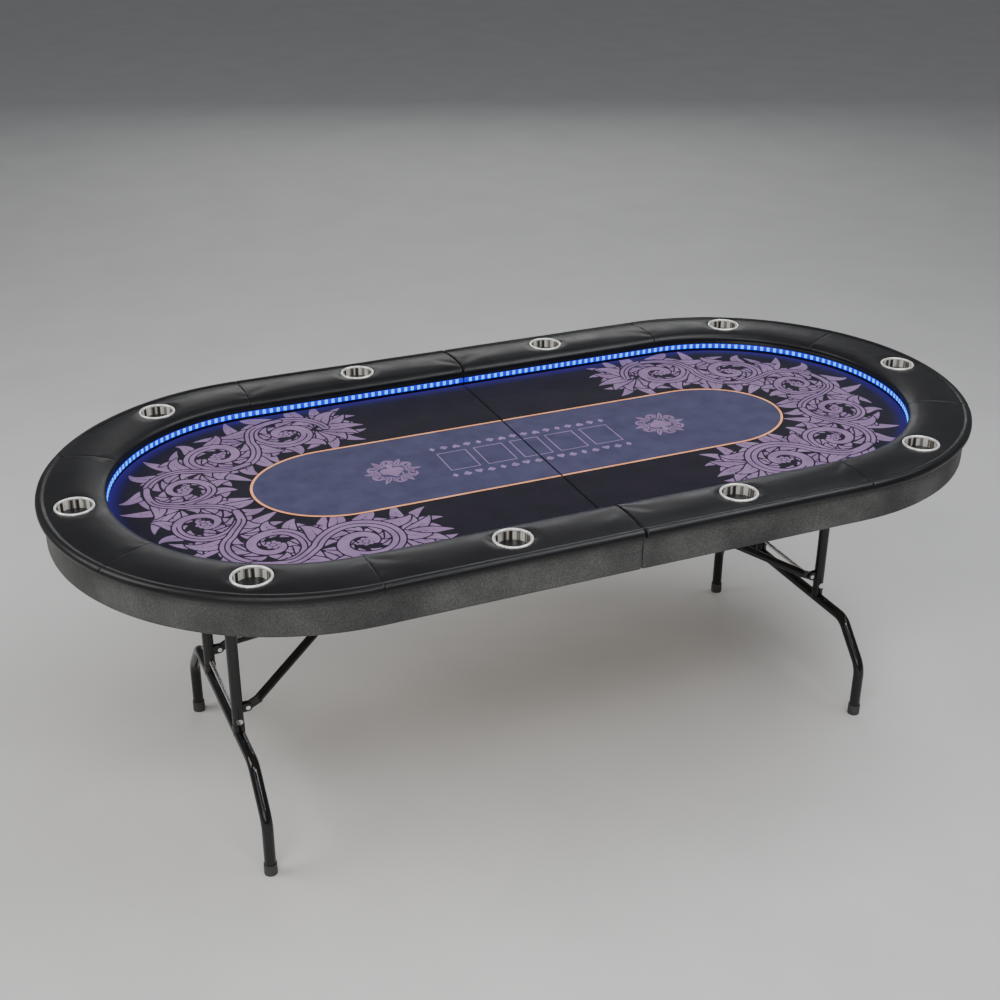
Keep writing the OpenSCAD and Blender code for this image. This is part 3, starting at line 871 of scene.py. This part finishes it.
class Ink:
    """A pattern drawn on a grid as the depth inside the ink, negative where it is bare.

    Points are complex numbers, and place takes each to its spot on the cloth.
    """

    def __init__(self, x0, x1, y0, y1, step, place=lambda p: p):
        self.step, self.place = step, place
        self.x = np.arange(x0, x1 + step, step)
        self.y = np.arange(y0, y1 + step, step)
        self.depth = np.full((len(self.x), len(self.y)), -20 * MM)

    def window(self, pts, reach):
        i0, i1 = np.searchsorted(self.x, (pts.real.min() - reach, pts.real.max() + reach))
        j0, j1 = np.searchsorted(self.y, (pts.imag.min() - reach, pts.imag.max() + reach))
        return slice(max(0, i0 - 1), i1 + 1), slice(max(0, j0 - 1), j1 + 1)

    def inside(self, pts, widths, margin):
        """Depth inside a stroke of changing width, over the window that holds it."""
        pts, half = np.array([self.place(p) for p in pts]), np.asarray(widths) / 2
        where = self.window(pts, half.max() + margin + 2 * self.step)
        grid = self.x[where[0], None] + 1j * self.y[None, where[1]]
        best = np.full(grid.shape, -1.0)
        for a, b, wa, wb in zip(pts, pts[1:], half, half[1:]):
            d = b - a
            t = np.clip(((grid - a) * np.conj(d)).real / (abs(d) ** 2 + 1e-12), 0, 1)
            best = np.maximum(best, wa + (wb - wa) * t - abs(grid - a - t * d))
        return where, best

    def stroke(self, pts, widths, gap):
        """Draws a stroke over what is there, with a bare gap round it."""
        where, depth = self.inside(pts, widths, gap)
        self.depth[where] = np.maximum(np.minimum(self.depth[where], -(depth + gap)), depth)

    def carve(self, pts, widths):
        """Takes a bare stroke out of the ink."""
        where, depth = self.inside(pts, widths, 0)
        self.depth[where] = np.minimum(self.depth[where], -depth)

    def dot(self, at, size, gap):
        self.stroke([at, at + 0.01 * MM], [size, size], gap)

    def limit(self, inside):
        """Keeps the ink where inside(x, y) is positive."""
        self.depth = np.minimum(self.depth, inside(*np.meshgrid(self.x, self.y, indexing="ij")))

    def mesh(self):
        """Faces that cover the ink, cut cleanly along its edge."""
        f, verts, faces, made = self.depth, [], [], {}

        def vertex(key, x, y):
            if key not in made:
                made[key] = len(verts)
                verts.append((x, y))
            return made[key]

        def crossing(a, b):
            a, b = min(a, b), max(a, b)
            t = f[a] / (f[a] - f[b])
            return vertex((a, b), self.x[a[0]] + (self.x[b[0]] - self.x[a[0]]) * t,
                          self.y[a[1]] + (self.y[b[1]] - self.y[a[1]]) * t)

        on = f > 0
        some = on[:-1, :-1] | on[1:, :-1] | on[:-1, 1:] | on[1:, 1:]
        for i, j in zip(*np.nonzero(some)):
            loop = [(i, j), (i + 1, j), (i + 1, j + 1), (i, j + 1)]
            face = []
            for a, b in zip(loop, loop[1:] + loop[:1]):
                if on[a]:
                    face.append(vertex(a, self.x[a[0]], self.y[a[1]]))
                if on[a] != on[b]:
                    face.append(crossing(a, b))
            if len(face) > 2:
                faces.append(tuple(face))
        return verts, faces


def smooth_curve(points, count):
    """Points along a smooth curve through the given ones (Catmull-Rom)."""
    pts = [2 * points[0] - points[1], *points, 2 * points[-1] - points[-2]]
    spans = len(points) - 1
    out = []
    for n in range(count + 1):
        u = min(n / count * spans, spans - 1e-6)
        k, t = int(u), u - int(u)
        a, b, c, d = pts[k:k + 4]
        out.append(0.5 * (2 * b + (c - a) * t + (2 * a - 5 * b + 4 * c - d) * t ** 2
                          + (3 * b - a - 3 * c + d) * t ** 3))
    return out


def leaf_widths(count, width):
    """Widths of a leaf: from a narrow foot through its belly to a point."""
    out, belly = [], 0.35
    for k in range(count):
        t = k / (count - 1)
        rise = math.sin(min(1.0, t / belly) * math.pi / 2)
        fall = math.cos(max(0.0, (t - belly) / (1 - belly)) * math.pi / 2)
        out.append(width * (0.3 + 0.7 * rise) * (0.06 + 0.94 * fall))
    return out


def swell(count, width, least, start, span):
    """Widths of a stem that is thickest in the middle."""
    return [width * (least + (1 - least) * math.sin(math.pi * (start + span * k / count)))
            for k in range(count)]


def leaf(ink, root, heading, length, width, curl, gap, vein=True):
    """A leaf that leaves root at a heading and bends by curl as it grows."""
    pts, steps = [root], 12
    for k in range(steps):
        heading += curl / steps * (0.4 + 1.2 * k / steps)
        pts.append(pts[-1] + cmath.rect(length / steps, heading))
    ink.stroke(pts, leaf_widths(len(pts), width), gap)
    if vein:
        middle = pts[2:-4]
        ink.carve(middle, [2.6 * MM * (1 - 0.5 * k / len(middle)) for k in range(len(middle))])


def plume(ink, root, heading, fan, count, length, width, curl, gap):
    """Leaves that spread from one root, the outer ones shorter and laid down first."""
    for k in sorted(range(count), key=lambda k: -abs(k - (count - 1) / 2)):
        t = (k / (count - 1) - 0.5) * 2
        leaf(ink, root, heading + fan * t / 2, length * (1 - 0.25 * abs(t)), width,
             math.copysign(curl, t) * (0.3 + abs(t)), gap)


def spiral(centre, radius, start, turn, turns=1.55, count=72):
    """A spiral that starts at an angle and winds in, anticlockwise where turn is 1."""
    return [centre + cmath.rect(radius * (1 - 0.80 * (k / count) ** 0.95),
                                start + turn * 2 * math.pi * turns * k / count)
            for k in range(count + 1)]


def scroll(ink, lead, path, turn, width, size, gap):
    """A scroll with leaves on both sides of its stem; lead joins it to the scroll before."""
    count = len(path) - 1

    def along_stem(share, angle, length, leaf_w, curl, vein):
        i = int(share * count)
        heading = cmath.phase(path[i + 1] - path[i]) + turn * angle
        leaf(ink, path[i], heading, length * size, leaf_w * size, turn * curl, gap, vein)

    for k in reversed(range(8)):
        t = 0.015 + 0.56 * k / 8
        along_stem(t, -0.30, 92 * MM * (1 - 0.42 * t), 35 * MM * (1 - 0.3 * t), -1.5, True)
    for k in reversed(range(9)):
        t = 0.05 + 0.66 * k / 9
        along_stem(t, 0.42, 62 * MM * (1 - 0.78 * t), 27 * MM * (1 - 0.62 * t), 1.15, t < 0.4)
    stem = lead + path
    ink.stroke(stem, swell(len(stem), width, 0.42, 0.12, 0.82), gap)
    groove = stem[len(lead) // 2:int(len(stem) * 0.62)]
    ink.carve(groove, [3 * MM] * len(groove))


def rosette(ink, centre):
    petals = 7
    for k in range(petals):
        ink.dot(centre + cmath.rect(12 * MM, k * math.tau / petals), 10 * MM, 1.5 * MM)
    ink.dot(centre, 11.5 * MM, 2 * MM)


# The border of scrolls lies along the middle of the bare band round one end: a straight
# stretch, half an ellipse and a straight stretch back.
BORDER_X0 = 395 * MM
BORDER_STRAIGHT = 75 * MM
BORDER_RX, BORDER_RY = 304 * MM, 279 * MM
BORDER_ARC = math.pi * (BORDER_RX + BORDER_RY) / 2
BORDER_LENGTH = 2 * BORDER_STRAIGHT + BORDER_ARC


def on_border(p):
    """Takes a point along (real) and out from (imaginary) the border to its spot on the cloth."""
    s = p.real
    turn_x = BORDER_X0 + BORDER_STRAIGHT
    if s < BORDER_STRAIGHT:
        spot, way = complex(BORDER_X0 + s, BORDER_RY), 1
    elif s > BORDER_STRAIGHT + BORDER_ARC:
        spot, way = complex(turn_x + BORDER_STRAIGHT + BORDER_ARC - s, -BORDER_RY), -1
    else:
        a = math.pi / 2 - (s - BORDER_STRAIGHT) / BORDER_ARC * math.pi
        spot = complex(turn_x + BORDER_RX * math.cos(a), BORDER_RY * math.sin(a))
        way = complex(BORDER_RX * math.sin(a), -BORDER_RY * math.cos(a))
        way /= abs(way)
    return spot + way * 1j * p.imag


def inside_ornament(x, y):
    """Positive between the light field's line and the rail."""
    to_rail = (WELL_R - 2 * MM) - np.hypot(np.maximum(x - END_X, 0), y)
    stretch = np.maximum(x - FIELD_STRAIGHT, 0) * FIELD_HALF_W / FIELD_END
    return np.minimum(to_rail, np.hypot(stretch, y) - (FIELD_HALF_W + 1.5 * MM))


def end_ornament():
    """A running border of leafy scrolls round one end of the cloth."""
    ink = Ink(210 * MM, END_X + WELL_R, -WELL_R, WELL_R, 2.2 * MM, on_border)
    gap, count = 3.4 * MM, 6
    pitch = BORDER_LENGTH / count
    for k in range(count + 1):
        for side in (1, -1):
            plume(ink, complex(k * pitch, side * 22 * MM), side * math.pi / 2, 2.9, 7, 112 * MM,
                  30 * MM, 1.0, gap)
    for s, heading in ((12 * MM, math.pi), (BORDER_LENGTH - 12 * MM, 0.0)):
        plume(ink, complex(s, 0), heading, 2.7, 9, 104 * MM, 31 * MM, 1.3, gap)
    before = None
    for k in range(count):
        turn = 1 if k % 2 else -1
        centre = complex((k + 0.5) * pitch, 0)
        path = spiral(centre, pitch / 2 + 4 * MM, math.pi, turn)
        lead = []
        if before:
            lead = smooth_curve([before[11], before[14], before[17] + 8 * MM, path[0]], 14)[:-1]
        towards_side = abs(k - (count - 1) / 2) / (count / 2)
        scroll(ink, lead, path, turn, (17 + 11 * towards_side) * MM, 0.86 + 0.2 * towards_side, gap)
        rosette(ink, centre)
        before = path
    ink.limit(inside_ornament)
    return ink.mesh()


def suit_outline(suit, size):
    """Outline of a heart, spade or diamond, centred, size tall."""
    if suit == "diamond":
        return [Vector(p) * size for p in ((0, -0.5), (0.36, 0), (0, 0.5), (-0.36, 0))]
    pts = []
    for t in (2 * math.pi * k / 40 for k in range(40)):
        x = 16 * math.sin(t) ** 3
        y = 13 * math.cos(t) - 5 * math.cos(2 * t) - 2 * math.cos(3 * t) - math.cos(4 * t)
        pts.append(Vector((x / 34, (y + 2.5) / 30)))
    if suit == "heart":
        return [p * size for p in reversed(pts)]
    return [Vector((p.x, -p.y * 0.82 + 0.08)) * size for p in pts]


def suit_faces(suit, size, x, y, turned):
    """Flat faces of a suit at a place; turned puts it upside down."""
    shapes = []
    if suit == "club":
        for cx, cy in ((0, 0.22), (-0.25, -0.10), (0.25, -0.10)):
            shapes.append([Vector((cx + 0.23 * math.cos(a), cy + 0.23 * math.sin(a))) * size
                           for a in (2 * math.pi * k / 24 for k in range(24))])
    else:
        shapes.append(suit_outline(suit, size))
    if suit in ("club", "spade"):
        shapes.append([Vector(p) * size for p in ((-0.17, -0.5), (0.17, -0.5), (0.04, -0.05),
                                                  (-0.04, -0.05))])
    verts, faces = [], []
    for shape in shapes:
        start = len(verts)
        for p in shape:
            q = -p if turned else p
            verts.append((x + q.x, y + q.y))
        area = sum(a.x * b.y - b.x * a.y for a, b in zip(shape, shape[1:] + shape[:1]))
        loop = tuple(range(start, len(verts)))
        faces.append(loop if area > 0 else tuple(reversed(loop)))
    return verts, faces


def frame_faces(x0, x1, y0, y1, w):
    """A rectangle drawn as a line of width w."""
    outer = [(x0, y0), (x1, y0), (x1, y1), (x0, y1)]
    inner = [(x0 + w, y0 + w), (x1 - w, y0 + w), (x1 - w, y1 - w), (x0 + w, y1 - w)]
    faces = [(k, (k + 1) % 4, (k + 1) % 4 + 4, k + 4) for k in range(4)]
    return outer + inner, faces


def half_box(x1, y0, y1, w):
    """The part of a drawn rectangle on the right of the fold, open at the fold."""
    strips = [(PRINT_XS + [x1], y0, y0 + w), ([x1 - w, x1], y0 + w, y1 - w),
              (PRINT_XS + [x1], y1 - w, y1)]
    return merged([grid_strip(xs, a, b) for xs, a, b in strips])


def grid_strip(xs, y0, y1):
    verts = [(x, y) for x in xs for y in (y0, y1)]
    return verts, [(2 * k, 2 * k + 2, 2 * k + 3, 2 * k + 1) for k in range(len(xs) - 1)]


def card_boxes(lilac):
    pitch, width, height, line = 87.5 * MM, 70 * MM, 92 * MM, 2.6 * MM
    for side in SIDES:
        parts = [half_box(width / 2, -height / 2, height / 2, line)]
        for k in (1, 2):
            parts.append(frame_faces(k * pitch - width / 2, k * pitch + width / 2, -height / 2,
                                     height / 2, line))
        printed("card_boxes", side, *merged(parts), lilac, 2 * PRINT_Z)


def pips(lilac):
    """A row of card suits on each long side of the boxes."""
    names = ("spade", "heart", "club", "diamond")
    size, pitch, row = 19 * MM, 28 * MM, 70 * MM
    for side in SIDES:
        parts = []
        for k in range(8):
            x = (k + 0.5) * pitch
            for sign in (-1, 1):
                parts.append(suit_faces(names[k % 4], size, x, sign * row, sign > 0))
        printed("pips", side, *merged(parts), lilac, 2 * PRINT_Z)


def emblem_mesh():
    """A spade in a ring of scrolls and leaves."""
    reach = 60 * MM
    ink = Ink(-reach, reach, -reach, reach, 1.0 * MM)
    gap = 1.4 * MM
    for k in range(6):
        out = cmath.rect(1, math.radians(60 * k + 30))
        turn = 1 if k % 2 else -1
        path = spiral(out * 33 * MM, 15 * MM, cmath.phase(out) + math.pi, turn, 1.15, 40)
        ink.stroke(path, swell(len(path), 5.4 * MM, 0.4, 0.1, 0.8), gap)
    for k in range(6):
        a = math.radians(60 * k)
        plume(ink, cmath.rect(23 * MM, a), a, 1.3, 3, 29 * MM, 10 * MM, 0.7, gap)
    outline = [complex(*p) for p in suit_outline("spade", 42 * MM)]
    for shrink in np.linspace(1, 0.1, 10):
        ring = [p * shrink for p in outline]
        ink.stroke(ring + ring[:1], [3 * MM] * (len(ring) + 1), gap if shrink == 1 else 0)
    ink.stroke([-7j * MM, -23j * MM], [4 * MM, 11 * MM], 0)
    return ink.mesh()


def prints(purple, navy, peach, lilac):
    field_and_line(navy, peach)
    card_boxes(lilac)
    pips(lilac)
    ornament = end_ornament()
    emblem_verts, emblem_faces = emblem_mesh()
    for side, flip in SIDES.items():
        printed("ornament", side, *ornament, purple, PRINT_Z)
        verts = [(flip * x * EMBLEM_SIZE + EMBLEM_X, flip * y * EMBLEM_SIZE)
                 for x, y in emblem_verts]
        printed("emblem", side, verts, emblem_faces, purple, 2 * PRINT_Z)


# ---- light strip
STRIP_T = 1.4 * MM
LAMP_PITCH, LAMP_SIZE = 16.7 * MM, (7.4 * MM, 10.0 * MM, 1.2 * MM)
LAMP_FREE = 16 * MM  # length without lamps, both ends together


def strips(glow, lamp):
    r_back = WELL_R - WALL_T
    r_face = r_back - STRIP_T
    mid_z = (STRIP_LO.z + STRIP_HI.z) / 2
    outline = rounded_box(r_face, r_back, STRIP_LO.z, STRIP_HI.z, 0.5 * MM, 2)
    length = 2 * STRAIGHT + math.pi * r_face
    count = int((length - LAMP_FREE) / LAMP_PITCH)
    start = (length - (count - 1) * LAMP_PITCH) / 2
    for side in SIDES:
        obj = band(f"light_band_{side}", side, outline, "light_blue", glow, step=10 * MM)
        boxes = [lamp_box(start + k * LAMP_PITCH, r_face, mid_z) for k in range(count)]
        lamps = piece(f"light_lamps_{side}", side, *merged(boxes), "light_blue", lamp,
                      smooth=False)
        for made in (obj, lamps):
            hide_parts(f"light_strip_{side}")


def lamp_box(s, r_face, z):
    """One lamp on the strip: a low tapered block, s measured along the strip's own face."""
    if s <= STRAIGHT:
        mid_s = s
    elif s >= STRAIGHT + math.pi * r_face:
        mid_s = HALF_PATH - (2 * STRAIGHT + math.pi * r_face - s)
    else:
        mid_s = STRAIGHT + (s - STRAIGHT) * MID_R / r_face
    base, out = rail_frame(mid_s)
    normal = Vector((out.x, out.y, 0))
    tangent = Vector((out.y, -out.x, 0))
    foot = Vector((base.x, base.y, z)) + normal * r_face
    up = Vector((0, 0, 1))
    verts = []
    width, height, thick = LAMP_SIZE
    for depth, scale in ((0.0, 1.0), (thick, 0.8)):
        for a, b in ((-1, -1), (1, -1), (1, 1), (-1, 1)):
            verts.append(foot - normal * depth + tangent * a * width / 2 * scale
                         + up * b * height / 2 * scale)
    faces = [(0, 1, 2, 3), (7, 6, 5, 4), (0, 4, 5, 1), (1, 5, 6, 2), (2, 6, 7, 3), (3, 7, 4, 0)]
    return verts, faces


# ---- CAD nodes that stay
def finish_nodes(by_slot):
    replaced = ("pad_", "apron_", "cup_", "felt_", "foam_", "light_strip_")
    for entry in frame["record"]["subparts"]:
        node, slot = entry["node"], entry["material_slot"]
        if node.startswith(replaced):
            continue
        obj = frame["nodes"][node]
        obj.data.materials.clear()
        obj.data.materials.append(by_slot[slot])
        if node.startswith(("foot_caps", "light_controller")):
            modify(obj, "BEVEL", width=1.2 * MM, segments=3, limit_method="ANGLE")


camera()
studio()
LEATHER = leather_material()
VINYL = apron_material()
STEEL = steel_material()
DARK_CLOTH = cloth_material("cloth_dark", (0.0070, 0.0058, 0.0120), (0.0115, 0.0095, 0.0185),
                            lit=True)
NAVY_CLOTH = cloth_material("cloth_navy", (0.042, 0.041, 0.088), (0.058, 0.057, 0.116))
PURPLE_INK = cloth_material("ink_purple", (0.185, 0.115, 0.225), (0.255, 0.165, 0.300))
LILAC_INK = cloth_material("ink_lilac", (0.205, 0.140, 0.285), (0.27, 0.19, 0.36))
PEACH_INK = cloth_material("ink_peach", (0.80, 0.31, 0.13), (0.95, 0.43, 0.21))
GLOW = glow_material("strip_glow", (0.005, 0.01, 0.20), (0.004, 0.001, 1.0), 1.0)
LAMP = glow_material("strip_lamp", (0.02, 0.15, 0.6), (0.012, 0.26, 1.0), 2.9)

rail_pads(LEATHER)
aprons(VINYL, LEATHER)
cups(STEEL)
FOAM = foam_material()
prints(PURPLE_INK, NAVY_CLOTH, PEACH_INK, LILAC_INK)
cloths(DARK_CLOTH, FOAM)
strips(GLOW, LAMP)
finish_nodes({
    "plywood": wood_material(),
    "foam_grey": FOAM,
    "black_tube": small_material(
        "black_tube", (0.007, 0.007, 0.008), 0.10,
        ((0.005, 0.005, 0.006), (0.011, 0.011, 0.012), 11, 4), (900, 0.00003, 0.30),
        ((60, 5, 0.7), 0.07, 0.16), Specular_IOR_Level=0.38),
    "zinc": small_material(
        "zinc", (0.66, 0.66, 0.65), 0.22, ((0.55, 0.55, 0.55), (0.74, 0.74, 0.73), 90, 4),
        (1200, 0.00003, 0.4), ((400, 3), 0.16, 0.32), Metallic=1.0),
    "foot_grey": small_material(
        "foot_grey", (0.040, 0.040, 0.041), 0.6,
        ((0.030, 0.030, 0.031), (0.052, 0.052, 0.053), 60, 4), (1400, 0.00008, 0.6)),
    "controller_black": small_material(
        "controller_black", (0.02, 0.02, 0.02), 0.45,
        ((0.016, 0.016, 0.016), (0.026, 0.026, 0.026), 40, 3), (2400, 0.00004, 0.6)),
})
